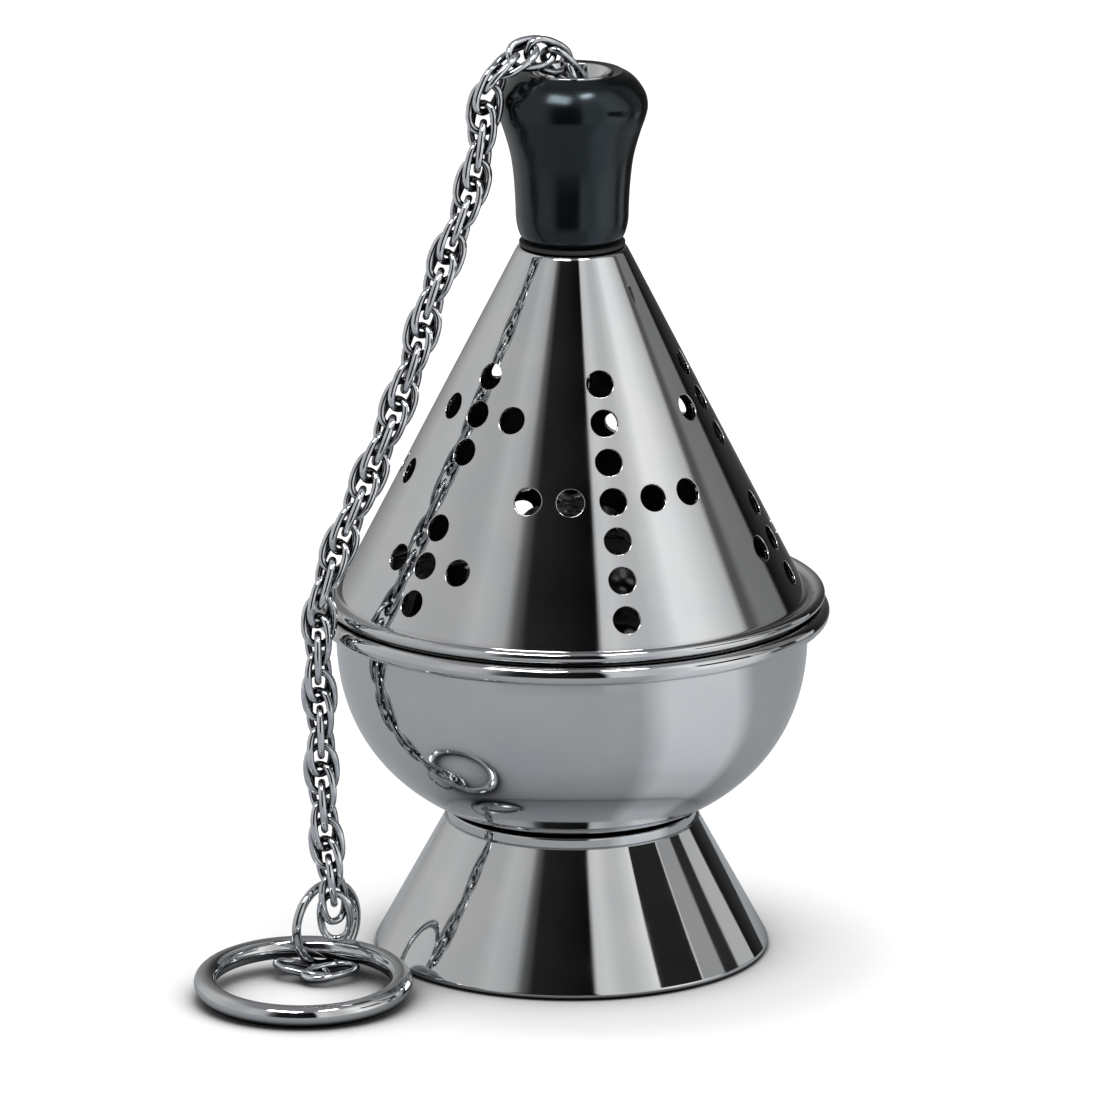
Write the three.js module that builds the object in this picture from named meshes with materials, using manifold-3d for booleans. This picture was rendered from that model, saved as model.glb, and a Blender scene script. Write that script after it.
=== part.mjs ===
// A single-chain thurible: a pierced cone lid that slides up its own chain, over a footed bowl.
// Millimetres, +Z up. The origin is the centre of the foot's underside; the front is -Y.

import * as THREE from 'three';
import { mergeVertices } from 'three/addons/utils/BufferGeometryUtils.js';
import Module from 'manifold-3d';

const wasm = await Module();
wasm.setup();

// ---- driving dimensions ----
const sheet = 0.9; // spun sheet of the foot, bowl and lid
const seatGap = 0.3; // air between two pieces that rest on or pass through each other

const footRadius = 44.7;
const footHeight = 30.3;
const footNeckRadius = 29.0;
const footCollarHeight = 2.7;
const footFlange = 3.6; // width of the flat ring that the foot stands on
const footEdge = 1.1; // rounding of the foot's lower edge
const footCollarInset = 0.7; // the collar steps in above the flare
const footBend = 0.3; // inside of the bends in the foot's sheet

const bowlRadius = 53.3;
const bowlDepth = 40.7; // from the flat bottom up to the widest line
const bellyPower = 2.25; // 2 would be an ellipse; a little more squares the belly
const bellyOvershoot = 1.118; // how much deeper the belly curve would run without the flat
const bowlNeck = 4.85; // from the widest line up to the middle of the rim bead
const rimBead = 2.25;
const rimOverhang = 4.95; // how far the rim bead stands out from the bowl's widest line
const rimFlare = 0.5; // how much the bowl's inner wall opens into the bead

const lidBead = 1.3;
const lidBeadInset = 1.05; // how far the lid's bead stays inside the bowl's
const lidBeadStep = 0.4; // how far the cone's foot is below the top of the bead
const lidGutter = 1.9; // flat floor between the cone's foot and the lid's bead
const lidHeight = 81.65; // from the lid's underside to its flat top
const lidTopRadius = 12.9;
const lidTopRound = 1.4;
const gutterDepth = 0.7; // of the gutter's floor below the cone's foot
const gutterFillet = 0.9;
const skirtDrop = 4.6;
const skirtClearance = 0.5;
const skirtLeadIn = 0.6;

const holeRadius = 3.1;
const holeRowPitch = 8.95; // up the slope of the cone
const firstHoleRow = 6.4; // from the cone's foot, up the slope
const holeArmPitch = 9.6; // around the cone
const punchLength = 6;
const bigCrossAngles = [14, 134, 254]; // degrees, from the front towards +X
const smallCrossAngles = [80, 194, 314];

const knobHeight = 38.4;
const knobRadius = 16.9; // at the crown
const knobWaistRadius = 12.7;
const knobWasherRadius = 11.9;
const knobWasherThickness = 0.9;

const chainDiameter = 8.0;
const chainClearance = 1.4; // between the chain and the tube that it runs through
const chainBreak = 165; // height at which the inner chain passes from the bowl's stretch to the lid's
const chainBendGap = 0.9; // between the chain in the knob and the run that swings on it
const tubeWall = 0.8;
const tubeFlare = 2.8; // how much the tube's mouth opens
const tubeFlareLength = 12;
const tubeThread = 8.3; // tube that stands below the lid's flat top
const tubeLip = 0.3; // rolled edge of the tube's mouth
const lockNutAcross = 18;
const lockNutThickness = 5;
const washerThickness = 1.0;
const washerWidth = 3.5;

const boltRadius = 2.9;
const boltHeadRadius = 5.5;
const boltHeadHeight = 2.6;
const boltHeadRound = 1.0;
const boltLength = 9; // below the foot's top
const footNutAcross = 10;
const footNutThickness = 5;

const stirrupSpan = 48; // over the arms
const stirrupWidth = 10;
const stirrupStrap = 1.5;
const stirrupShoulder = 52; // height of the upright arms
const stirrupHeight = 67;
const stirrupCrown = 18; // width of the flat top
const stirrupBevel = 2.5;

const cupRadius = 20.8;
const cupDepth = 14;
const cupWall = 0.8;
const cupCorner = 3;
const cupHoleClearance = 1.0;

const eyeShankRadius = 2.0;
const eyeRadius = 4.2;
const eyeWire = 1.2;
const eyeCollar = 1.6; // how far the eye's collar stands out from its shank
const eyeTail = 3; // thread that shows below the eye's nut
const eyeNutAcross = 7;
const eyeNutThickness = 3;
const linkHalfLength = 6.1;
const linkHalfWidth = 3.6;
const linkWire = 0.9;

const jumpRingRadius = 9.35; // to the middle of the wire
const jumpRingWire = 1.05;
const jumpRingLift = 0.3; // below its lowest point
const jumpRingPlace = [-55.4, -20.6];
const jumpRingTurn = 45; // degrees that its plane is turned from the X direction
const fingerRingRadius = 22.0;
const fingerRingTube = 2.5;
const fingerRingPlace = [-60.2, -42.0];

// The chain outside the lid: out of the knob, over its left shoulder, down past the
// rim and into the finger ring. Points chosen by hand along the middle of the chain.
const chainRoute = [
  [0.0, 0.0, 198.0], [0.0, 0.0, 199.6], [-1.0, -0.5, 202.6], [-3.7, -1.7, 205.8], [-7.4, -3.4, 207.8],
  [-11.3, -5.3, 207.4], [-15.0, -7.0, 204.9], [-18.0, -8.4, 201.3], [-19.5, -9.1, 196.2],
  [-20.2, -9.4, 189.8], [-21.2, -9.9, 183.5], [-22.8, -10.7, 177.6], [-25.0, -11.7, 171.0],
  [-27.6, -12.9, 164.6], [-31.7, -14.8, 153.0], [-36.4, -17.0, 137.5], [-42.4, -19.8, 122.0],
  [-49.1, -22.9, 106.6], [-54.7, -25.5, 92.4], [-56.2, -26.2, 85.8], [-56.7, -26.5, 79.0],
  [-56.8, -26.5, 72.4], [-56.5, -26.4, 65.0], [-56.1, -26.2, 46.2], [-55.6, -26.4, 36.8],
  [-54.6, -27.0, 27.3], [-53.6, -26.9, 18.0], [-53.0, -26.3, 9.5],
];

// ---- places that follow from the sizes ----
const footTopZ = footHeight + footCollarHeight;
const bowlFloorZ = footTopZ + seatGap;
const bowlInnerFloorZ = bowlFloorZ + sheet;
const bellyZ = bowlFloorZ + bowlDepth;
const rimZ = bellyZ + bowlNeck;
const rimRadius = bowlRadius + rimOverhang;
const lidZ = rimZ + rimBead + 1.5 * seatGap;
const lidBeadRadius = rimRadius - lidBeadInset;
const lidBaseRadius = lidBeadRadius - 2 * lidBead - lidGutter;
const coneFootZ = lidZ + 2 * lidBead - lidBeadStep;
const lidTopZ = lidZ + lidHeight;
const lidUndersideZ = lidZ + lidBeadStep;
const coneSlope = Math.atan2(lidBaseRadius - lidTopRadius, lidTopZ - lidTopRound - coneFootZ);
const knobZ = lidTopZ + 2 * seatGap + knobWasherThickness;
const chainRadius = chainDiameter / 2;
const tubeInner = chainRadius + chainClearance;
const tubeOuter = tubeInner + tubeWall;
const tubeHole = tubeOuter + seatGap;
const boltHole = boltRadius + seatGap;
const stirrupZ = bowlInnerFloorZ + seatGap;
const crownZ = stirrupZ + stirrupHeight;
const cupZ = stirrupZ + stirrupStrap + seatGap;
const eyeZ = crownZ + seatGap + eyeWire + eyeRadius + eyeWire;
const linkZ = eyeZ + eyeRadius - eyeWire - linkWire - seatGap + linkHalfLength;
const innerChainZ = linkZ + linkHalfLength + linkWire + seatGap;

// ---- shape helpers ----
function signedVolume(geometry) {
  const p = geometry.attributes.position;
  const index = geometry.index;
  const a = new THREE.Vector3();
  const b = new THREE.Vector3();
  const c = new THREE.Vector3();
  let sum = 0;
  for (let i = 0; i < index.count; i += 3) {
    a.fromBufferAttribute(p, index.getX(i));
    b.fromBufferAttribute(p, index.getX(i + 1));
    c.fromBufferAttribute(p, index.getX(i + 2));
    sum += a.dot(b.cross(c));
  }
  return sum / 6;
}

function solid(geometry) {
  // A manifold-3d solid of a closed geometry, turned the right way out.
  geometry.deleteAttribute('normal');
  geometry.deleteAttribute('uv');
  const merged = mergeVertices(geometry, 1e-4);
  const triVerts = Uint32Array.from(merged.index.array);
  if (signedVolume(merged) < 0) {
    for (let i = 0; i < triVerts.length; i += 3) {
      [triVerts[i + 1], triVerts[i + 2]] = [triVerts[i + 2], triVerts[i + 1]];
    }
  }
  const vertProperties = Float32Array.from(merged.attributes.position.array);
  return new wasm.Manifold(new wasm.Mesh({ numProp: 3, vertProperties, triVerts }));
}

function geometryOf(manifold) {
  const mesh = manifold.getMesh();
  const geometry = new THREE.BufferGeometry();
  geometry.setAttribute('position', new THREE.BufferAttribute(mesh.vertProperties, 3));
  geometry.setIndex(new THREE.BufferAttribute(mesh.triVerts, 1));
  geometry.computeVertexNormals();
  return geometry;
}

function turned(outline, segments = 48) {
  // A closed outline of [radius, height] points, turned about the Z axis.
  const points = [...outline, outline[0]].map(([r, z]) => new THREE.Vector2(r, z));
  return solid(new THREE.LatheGeometry(points, segments).rotateX(Math.PI / 2));
}

function washer(innerRadius, outerRadius, z, thickness, segments = 32) {
  const top = z + thickness;
  return turned([[innerRadius, z], [outerRadius, z], [outerRadius, top], [innerRadius, top]], segments);
}

function rod(radius, z, height, segments = 24) {
  const geometry = new THREE.CylinderGeometry(radius, radius, height, segments);
  return solid(geometry.rotateX(Math.PI / 2).translate(0, 0, z + height / 2));
}

function hexNut(across, boreRadius, z, thickness) {
  const shape = new THREE.Shape();
  const corner = across / Math.sqrt(3);
  for (let i = 0; i < 6; i += 1) {
    const angle = (i * Math.PI) / 3;
    shape.lineTo(corner * Math.cos(angle), corner * Math.sin(angle));
  }
  shape.curves.shift();
  shape.closePath();
  const bore = new THREE.Path();
  bore.absarc(0, 0, boreRadius, 0, 2 * Math.PI, true);
  shape.holes.push(bore);
  const geometry = new THREE.ExtrudeGeometry(shape, {
    depth: thickness, bevelEnabled: false, curveSegments: 12,
  });
  return solid(geometry.translate(0, 0, z));
}

function ring(radius, wire, segments, sides) {
  // A round ring about the Z axis.
  return new THREE.TorusGeometry(radius, wire, sides, segments);
}

function ovalRing(halfLength, halfWidth, wire, segments = 24, sides = 8) {
  // A long link in the XY plane, its length along X: a ring of wire along a stadium.
  const straight = halfLength - halfWidth;
  const geometry = ring(halfWidth, wire, segments, sides);
  const p = geometry.attributes.position;
  for (let i = 0; i < p.count; i += 1) {
    p.setX(i, p.getX(i) + Math.sign(Math.round(p.getX(i) * 1e4)) * straight);
  }
  return geometry;
}

function arc(centreR, centreZ, radius, from, to, steps) {
  // Outline points along an arc, angles in degrees from the outward direction.
  return Array.from({ length: steps + 1 }, (_, i) => {
    const angle = THREE.MathUtils.degToRad(from + ((to - from) * i) / steps);
    return [centreR + radius * Math.cos(angle), centreZ + radius * Math.sin(angle)];
  });
}

// ---- foot and its fixing ----
function foot() {
  const rise = footHeight - footEdge;
  const lean = (footRadius - footNeckRadius) / rise;
  const wall = sheet * Math.hypot(1, lean);
  const flareAt = (z) => footNeckRadius + lean * (footHeight - z);
  const collar = footNeckRadius - footCollarInset;
  const round = sheet / 2;
  return turned([
    [footRadius - footFlange - footEdge, 0],
    ...arc(footRadius - footEdge, footEdge, footEdge, -90, 0, 2),
    [footNeckRadius, footHeight],
    [collar, footHeight + footCollarInset],
    [collar, footTopZ - round],
    [collar - round, footTopZ],
    [boltHole, footTopZ],
    [boltHole, footTopZ - sheet],
    [collar - sheet - footBend, footTopZ - sheet],
    [collar - sheet, footTopZ - sheet - footBend],
    [flareAt(footHeight) - wall, footHeight - footBend],
    [flareAt(sheet) - wall, sheet],
    [footRadius - footFlange - footEdge, sheet],
  ]);
}

function centreBolt() {
  const headTop = cupZ + boltHeadHeight;
  const head = turned([
    [0, cupZ], [boltHeadRadius, cupZ], [boltHeadRadius, headTop - boltHeadRound],
    [boltHeadRadius - 1.6 * boltHeadRound, headTop], [0, headTop],
  ], 24);
  return rod(boltRadius, footTopZ - boltLength, cupZ + seatGap - footTopZ + boltLength).add(head);
}

const footWasherZ = footTopZ - sheet - seatGap - washerThickness;
const footWasher = () => washer(boltHole, boltHole + washerWidth, footWasherZ, washerThickness, 24);
const footNut = () => hexNut(
  footNutAcross, boltHole, footWasherZ - seatGap - footNutThickness, footNutThickness,
);

// ---- bowl ----
function belly(radius, depth, floorZ, steps) {
  // The bowl's side from a flat at floorZ up to its widest line.
  const start = Math.asin(((bellyZ - floorZ) / depth) ** (bellyPower / 2));
  return Array.from({ length: steps + 1 }, (_, i) => {
    const angle = start * (1 - i / steps);
    return [
      radius * Math.cos(angle) ** (2 / bellyPower),
      bellyZ - depth * Math.sin(angle) ** (2 / bellyPower),
    ];
  });
}

function bowl() {
  const depth = bowlDepth * bellyOvershoot;
  const beadCentre = rimRadius - rimBead;
  const inner = bowlRadius - sheet;
  return turned([
    [boltHole, bowlFloorZ],
    ...belly(bowlRadius, depth, bowlFloorZ, 9),
    [bowlRadius, rimZ - rimBead],
    ...arc(beadCentre, rimZ, rimBead, -130, 110, 7),
    [inner + rimFlare, rimZ + rimBead * 0.7],
    [inner, rimZ + rimBead * 0.4],
    ...belly(inner, depth - sheet, bowlInnerFloorZ, 7).reverse(),
    [boltHole, bowlInnerFloorZ],
  ]);
}

// ---- what the bowl holds ----
function charcoalCup() {
  const floorHole = boltHeadRadius + cupHoleClearance;
  const outer = arc(cupRadius - cupCorner, cupZ + cupCorner, cupCorner, -90, 0, 4);
  const inner = arc(cupRadius - cupCorner, cupZ + cupCorner, cupCorner - cupWall, 0, -90, 4);
  return turned([
    [floorHole, cupZ],
    ...outer,
    [cupRadius, cupZ + cupDepth],
    [cupRadius - cupWall, cupZ + cupDepth],
    ...inner,
    [floorHole, cupZ + cupWall],
  ], 40);
}

function stirrupOutline(inset) {
  // Corners of the strap's outline, pulled in by inset.
  const half = stirrupSpan / 2 - inset;
  const foot = half - stirrupBevel;
  const heel = stirrupBevel + inset;
  const atBend = inset * 0.4; // the outline comes in less at an open bend
  const crown = stirrupCrown / 2 - atBend;
  const shoulder = stirrupShoulder - atBend;
  const top = stirrupHeight - inset;
  return [
    [-foot, inset], [foot, inset], [half, heel], [half, shoulder],
    [crown, top], [-crown, top], [-half, shoulder], [-half, heel],
  ].map(([x, z]) => new THREE.Vector2(x, z));
}

function stirrup() {
  const shape = new THREE.Shape(stirrupOutline(0));
  shape.holes.push(new THREE.Path(stirrupOutline(stirrupStrap)));
  const band = new THREE.ExtrudeGeometry(shape, { depth: stirrupWidth, bevelEnabled: false });
  band.translate(0, 0, -stirrupWidth / 2).rotateX(Math.PI / 2).translate(0, 0, stirrupZ);
  const boltCut = rod(boltHole, stirrupZ - 1, stirrupStrap + 2);
  const eyeCut = rod(eyeShankRadius + seatGap, crownZ - stirrupStrap - 1, stirrupStrap + 2);
  return solid(band).subtract(boltCut).subtract(eyeCut);
}

function chainEye() {
  const eye = ring(eyeRadius, eyeWire, 24, 8).rotateX(Math.PI / 2).translate(0, 0, eyeZ);
  const collarZ = crownZ + seatGap;
  const shankLength = stirrupStrap + eyeNutThickness + eyeTail;
  const shank = rod(eyeShankRadius, collarZ - shankLength, shankLength + eyeWire / 2);
  const collar = rod(eyeShankRadius + eyeCollar, collarZ, 1.4 * eyeWire);
  return solid(eye).add(shank).add(collar);
}

const eyeNut = () => hexNut(
  eyeNutAcross, eyeShankRadius + seatGap,
  crownZ - stirrupStrap - seatGap - eyeNutThickness, eyeNutThickness,
);

function connectingLink() {
  const link = ovalRing(linkHalfLength, linkHalfWidth, linkWire);
  return solid(link.rotateY(-Math.PI / 2).translate(0, 0, linkZ));
}

// ---- lid ----
function coneShell() {
  const slopeWall = sheet / Math.cos(coneSlope);
  const beadZ = lidZ + lidBead;
  const beadCentre = lidBeadRadius - lidBead;
  const radiusAt = (z) => lidBaseRadius - Math.tan(coneSlope) * (z - coneFootZ);
  const shoulderZ = lidTopZ - lidTopRound;
  const innerTopZ = lidTopZ - sheet;
  const gutterZ = coneFootZ - gutterDepth;
  return turned([
    [tubeHole, innerTopZ],
    [radiusAt(innerTopZ) - slopeWall - lidTopRound / 3, innerTopZ],
    [radiusAt(coneFootZ) - slopeWall, coneFootZ],
    [lidBaseRadius - slopeWall + seatGap, lidUndersideZ],
    [beadCentre, lidZ],
    ...arc(beadCentre, beadZ, lidBead, -60, 150, 5),
    [lidBaseRadius + lidGutter * 0.8, gutterZ],
    [lidBaseRadius + gutterFillet, gutterZ],
    [lidBaseRadius + gutterFillet * 0.28, gutterZ + gutterFillet * 0.39],
    [radiusAt(coneFootZ), coneFootZ + gutterFillet / 3],
    [lidTopRadius, shoulderZ],
    [lidTopRadius - lidTopRound * 0.3, shoulderZ + lidTopRound * 0.7],
    [lidTopRadius - lidTopRound, lidTopZ],
    [tubeHole, lidTopZ],
  ], 48);
}

function coneHole(angle, row, armShift = 0) {
  // A punch square to the cone: row steps up the slope, armShift steps round the cone.
  const upSlope = firstHoleRow + row * holeRowPitch;
  const radius = lidBaseRadius - upSlope * Math.sin(coneSlope);
  const around = THREE.MathUtils.degToRad(angle - 90) + (armShift * holeArmPitch) / radius;
  const punch = new THREE.CylinderGeometry(holeRadius, holeRadius, punchLength, 8);
  punch.rotateZ(-Math.PI / 2).rotateY(-coneSlope);
  punch.translate(radius, 0, coneFootZ + upSlope * Math.cos(coneSlope)).rotateZ(around);
  return solid(punch);
}

function crossHoles(angle, lowest, centre, highest, arms) {
  // A Latin cross: a column of rows, and arms on each side of its centre row.
  const holes = [];
  for (let row = lowest; row <= highest; row += 1) holes.push(coneHole(angle, row));
  for (let step = 1; step <= arms; step += 1) {
    holes.push(coneHole(angle, centre, step), coneHole(angle, centre, -step));
  }
  return holes;
}

function lidCone() {
  const holes = [
    ...bigCrossAngles.flatMap((angle) => crossHoles(angle, 0, 3, 6, 2)),
    ...smallCrossAngles.flatMap((angle) => crossHoles(angle, 0, 1, 2, 1)),
    ...smallCrossAngles.flatMap((angle) => crossHoles(angle, 4, 5, 6, 1)),
  ];
  return holes.reduce((shell, hole) => shell.subtract(hole), coneShell());
}

function locatingRing() {
  const outer = bowlRadius - sheet - skirtClearance;
  const top = lidUndersideZ - seatGap;
  const bottom = lidZ - skirtDrop;
  return turned([
    [outer - sheet, bottom],
    [outer - skirtLeadIn / 2, bottom],
    [outer, bottom + skirtLeadIn],
    [outer, top],
    [outer - sheet, top],
  ]);
}

const mouthZ = knobZ + knobHeight - tubeLip - 0.1;

function tubeSide(radius, z, steps) {
  // The tube's wall from its straight part up to its flared mouth.
  return Array.from({ length: steps + 1 }, (_, i) => {
    const t = i / steps;
    return [radius + tubeFlare * t * t, z - tubeFlareLength * (1 - t)];
  });
}

function knobTube() {
  const bottom = lidTopZ - sheet - tubeThread;
  return turned([
    [tubeInner, bottom],
    [tubeOuter, bottom],
    ...tubeSide(tubeOuter, mouthZ, 4),
    [tubeInner + tubeFlare + tubeLip, mouthZ + tubeLip],
    ...tubeSide(tubeInner, mouthZ, 4).reverse(),
  ], 32);
}

function knob() {
  // A turned handle: small foot, straight waist and an open crown.
  const top = knobZ + knobHeight;
  const crown = knobRadius - knobWaistRadius;
  const side = [
    [-1.7, 0.0], [-0.6, 0.03], [-0.1, 0.08], [0.0, 0.2], [0.09, 0.36], [0.26, 0.5],
    [0.62, 0.645], [0.9, 0.735], [1.0, 0.79], [0.92, 0.855], [0.62, 0.915], [0.2, 0.965],
    [-0.45, 0.995],
  ].map(([swell, h]) => [
    knobWaistRadius + (h < 0.1 ? swell : swell * crown), knobZ + h * knobHeight,
  ]);
  const bore = tubeSide(tubeHole, mouthZ, 4).reverse();
  return turned([[tubeHole, knobZ], ...side, [tubeHole + tubeFlare + tubeLip, top], ...bore], 36);
}

const knobWasher = () => washer(tubeHole, knobWasherRadius, lidTopZ + seatGap, knobWasherThickness, 48);
const innerWasherZ = lidTopZ - sheet - seatGap - washerThickness;
const innerWasher = () => washer(tubeHole, tubeHole + washerWidth, innerWasherZ, washerThickness);
const lockNut = () => hexNut(
  lockNutAcross, tubeHole, innerWasherZ - seatGap - lockNutThickness, lockNutThickness,
);

// ---- chain and its rings ----
function chainTube(points, steps) {
  const path = new THREE.CatmullRomCurve3(points.map((p) => new THREE.Vector3(...p)));
  const section = new THREE.Shape();
  const sides = 8;
  const corners = Array.from({ length: sides }, (_, i) => new THREE.Vector2(
    chainRadius * Math.cos((2 * Math.PI * i) / sides), chainRadius * Math.sin((2 * Math.PI * i) / sides),
  ));
  section.setFromPoints(corners);
  return solid(new THREE.ExtrudeGeometry(section, { steps, bevelEnabled: false, extrudePath: path }));
}

const straightChain = (from, to) => chainTube([[0, 0, from], [0, 0, (from + to) / 2], [0, 0, to]], 4);

const innerChain = () => straightChain(innerChainZ, chainBreak);
const chainInKnob = () => straightChain(chainBreak + seatGap, chainRoute[0][2] - chainBendGap);
const outerChain = () => chainTube(chainRoute, 44);

const jumpRing = () => solid(ring(jumpRingRadius, jumpRingWire, 32, 8));
const fingerRing = () => solid(ring(fingerRingRadius, fingerRingTube, 40, 10));

// ---- the assembly ----
const steel = { color: 0xc9ccd0, roughness: 0.12, metalness: 1.0 };
const zinc = { color: 0xb4b8bc, roughness: 0.3, metalness: 1.0 };
const black = { color: 0x101214, roughness: 0.18, metalness: 0.0 };

const thurible = new THREE.Group();

function place(parent, name, manifold, finish) {
  const mesh = new THREE.Mesh(geometryOf(manifold), new THREE.MeshStandardMaterial(finish));
  mesh.name = name;
  parent.add(mesh);
  return mesh;
}

const base = new THREE.Group();
place(base, 'foot', foot(), steel);
place(base, 'centre_bolt', centreBolt(), zinc);
place(base, 'foot_washer', footWasher(), zinc);
place(base, 'foot_nut', footNut(), zinc);
place(base, 'bowl', bowl(), steel);
place(base, 'charcoal_cup', charcoalCup(), zinc);
place(base, 'stirrup', stirrup(), zinc);
place(base, 'chain_eye', chainEye(), zinc);
place(base, 'eye_nut', eyeNut(), zinc);
place(base, 'connecting_link', connectingLink(), zinc);
place(base, 'chain_inner', innerChain(), steel);
thurible.add(base);

const lid = new THREE.Group();
place(lid, 'chain_in_knob', chainInKnob(), steel);
place(lid, 'lid_cone', lidCone(), steel);
place(lid, 'lid_locating_ring', locatingRing(), steel);
place(lid, 'knob', knob(), black);
place(lid, 'knob_tube', knobTube(), steel);
place(lid, 'knob_washer', knobWasher(), black);
place(lid, 'inner_washer', innerWasher(), zinc);
place(lid, 'lock_nut', lockNut(), zinc);
thurible.add(lid);

const freeEnd = new THREE.Group();
place(freeEnd, 'chain_outer', outerChain(), steel);
const jumpRingMesh = place(freeEnd, 'jump_ring', jumpRing(), steel);
const jumpRingZ = jumpRingLift + jumpRingRadius + jumpRingWire;
jumpRingMesh.rotation.set(Math.PI / 2, 0, THREE.MathUtils.degToRad(jumpRingTurn), 'ZYX');
jumpRingMesh.position.set(...jumpRingPlace, jumpRingZ);

// The finger ring lies on the ground in front and on the jump ring's wire behind.
const heldZ = jumpRingLift + 2 * jumpRingWire + seatGap + fingerRingTube;
const fingerRingTilt = Math.asin((heldZ - fingerRingTube) / (2 * fingerRingRadius));
const fingerRingMesh = place(freeEnd, 'finger_ring', fingerRing(), steel);
fingerRingMesh.rotation.set(fingerRingTilt, 0, 0);
fingerRingMesh.position.set(...fingerRingPlace, (heldZ + fingerRingTube) / 2 + 0.02);
thurible.add(freeEnd);

export default thurible;
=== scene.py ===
"""Looks of a single-chain thurible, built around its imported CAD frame.

Sizes are in millimetres until a mesh is made, when they become metres. Camera, floor, lights and
materials are in metres. The front is -Y.
"""
import math
import random

import bpy
import numpy as np
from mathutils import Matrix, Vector
from mathutils.geometry import delaunay_2d_cdt


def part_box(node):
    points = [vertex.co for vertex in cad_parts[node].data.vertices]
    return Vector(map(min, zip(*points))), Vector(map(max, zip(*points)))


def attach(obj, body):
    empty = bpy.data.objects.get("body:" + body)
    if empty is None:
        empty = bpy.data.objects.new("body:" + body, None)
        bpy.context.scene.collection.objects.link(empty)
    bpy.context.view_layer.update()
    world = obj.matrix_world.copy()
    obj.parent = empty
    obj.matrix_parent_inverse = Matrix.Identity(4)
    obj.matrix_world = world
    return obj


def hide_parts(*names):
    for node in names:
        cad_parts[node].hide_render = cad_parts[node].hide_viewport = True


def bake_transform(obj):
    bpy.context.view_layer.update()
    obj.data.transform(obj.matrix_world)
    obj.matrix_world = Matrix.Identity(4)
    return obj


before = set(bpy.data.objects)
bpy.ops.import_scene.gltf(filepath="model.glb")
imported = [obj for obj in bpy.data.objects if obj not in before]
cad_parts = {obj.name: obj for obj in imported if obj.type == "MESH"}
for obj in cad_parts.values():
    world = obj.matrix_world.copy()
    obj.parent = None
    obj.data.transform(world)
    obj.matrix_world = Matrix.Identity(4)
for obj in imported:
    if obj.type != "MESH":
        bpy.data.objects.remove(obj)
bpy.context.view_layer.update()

MM = 0.001
random.seed(7)

# ---- sizes repeated from the CAD source, in millimetres ----
SHEET = 0.9
SEAT_GAP = 0.3
FOOT_NECK_RADIUS = 29.0
FOOT_COLLAR_HEIGHT = 2.7
FOOT_COLLAR_INSET = 0.7
FOOT_FLANGE = 3.6
FOOT_EDGE = 1.1
BOWL_RADIUS = 53.3
BOWL_DEPTH = 40.7
BELLY_POWER = 2.25
BELLY_OVERSHOOT = 1.118
RIM_BEAD = 2.25
LID_BEAD = 1.3
LID_BEAD_STEP = 0.4
LID_GUTTER = 1.9
GUTTER_DEPTH = 0.7
GUTTER_FILLET = 0.9
LID_TOP_RADIUS = 12.9
LID_TOP_ROUND = 1.4
HOLE_RADIUS = 3.1
HOLE_ROW_PITCH = 8.95
FIRST_HOLE_ROW = 6.4
HOLE_ARM_PITCH = 9.6
BIG_CROSS_ANGLES = (14, 134, 254)
SMALL_CROSS_ANGLES = (80, 194, 314)
KNOB_WAIST_RADIUS = 12.7
TUBE_INNER = 5.4
TUBE_WALL = 0.8
TUBE_HOLE = TUBE_INNER + TUBE_WALL + SEAT_GAP
TUBE_FLARE = 2.8
TUBE_FLARE_LENGTH = 12.0
BOLT_RADIUS = 2.9
BOLT_HOLE = BOLT_RADIUS + SEAT_GAP
BOLT_HEAD_HEIGHT = 2.6
STIRRUP_STRAP = 1.5
STIRRUP_SHOULDER = 52.0
STIRRUP_CROWN = 18.0
STIRRUP_BEVEL = 2.5
EYE_WIRE = 1.2
EYE_SHANK_RADIUS = 2.0
EYE_COLLAR = 1.6
LINK_WIRE = 0.9
JUMP_RING_WIRE = 1.05
JUMP_RING_LIES = (0.70711, 0.70711, 0)  # its level direction; the ring stands upright
FINGER_RING_TUBE = 2.5
CUP_WALL = 0.8
CUP_CORNER = 3.0
CUP_FLOOR_HOLE = 6.5

# ---- details that only the visual model has, in millimetres ----
HOLE_LIP = 0.2  # rounded edge of a punched hole
NECK_ROUND = 0.5  # rounding at the foot's neck and collar
INNER_BEVEL = 0.3  # small corners inside the foot
CURL_FILLET = 0.6  # where the bowl's wall turns out into its bead
TUBE_MOUTH_DROP = 0.3  # from the lip's top to the middle of its round edge
KNOB_MOUTH_DROP = 0.4
WASHER_ROUND = 0.2
SKIRT_BEVEL = 0.3
THREAD_PITCH = 0.8
THREAD_DEPTH = 0.35
THREAD_TURNS = 10
BOLT_POINT = 0.6
BOLT_HEAD_BEVEL = (0.2, 0.3)
BOLT_DOME = 1.8
SOCKET_RADII = (1.6, 1.4)
SOCKET_DEPTH = 1.2
NUT_CHAMFER = 0.5
NUT_FACE_INSET = 0.1
STRAP_BEND_SHARE = 0.4  # of half the strap, from an outer bend in to the middle line's
STRAP_TURN = 1.6
STRAP_EASE = 0.3
SHANK_BEVEL = 0.4
COLLAR_EDGE = 1.0
COLLAR_HEIGHT = 1.7
KNOB_PROFILE = [
    (-0.46, 0.0), (-0.24, 0.03), (-0.1, 0.075), (-0.02, 0.13), (0.0, 0.2), (0.09, 0.36), (0.26, 0.5),
    (0.62, 0.645), (0.9, 0.735), (1.0, 0.79), (0.92, 0.855), (0.62, 0.915), (0.2, 0.965), (-0.35, 1.0),
]  # swell beyond the waist as a share of the crown's, and height as a share of the knob's

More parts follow.
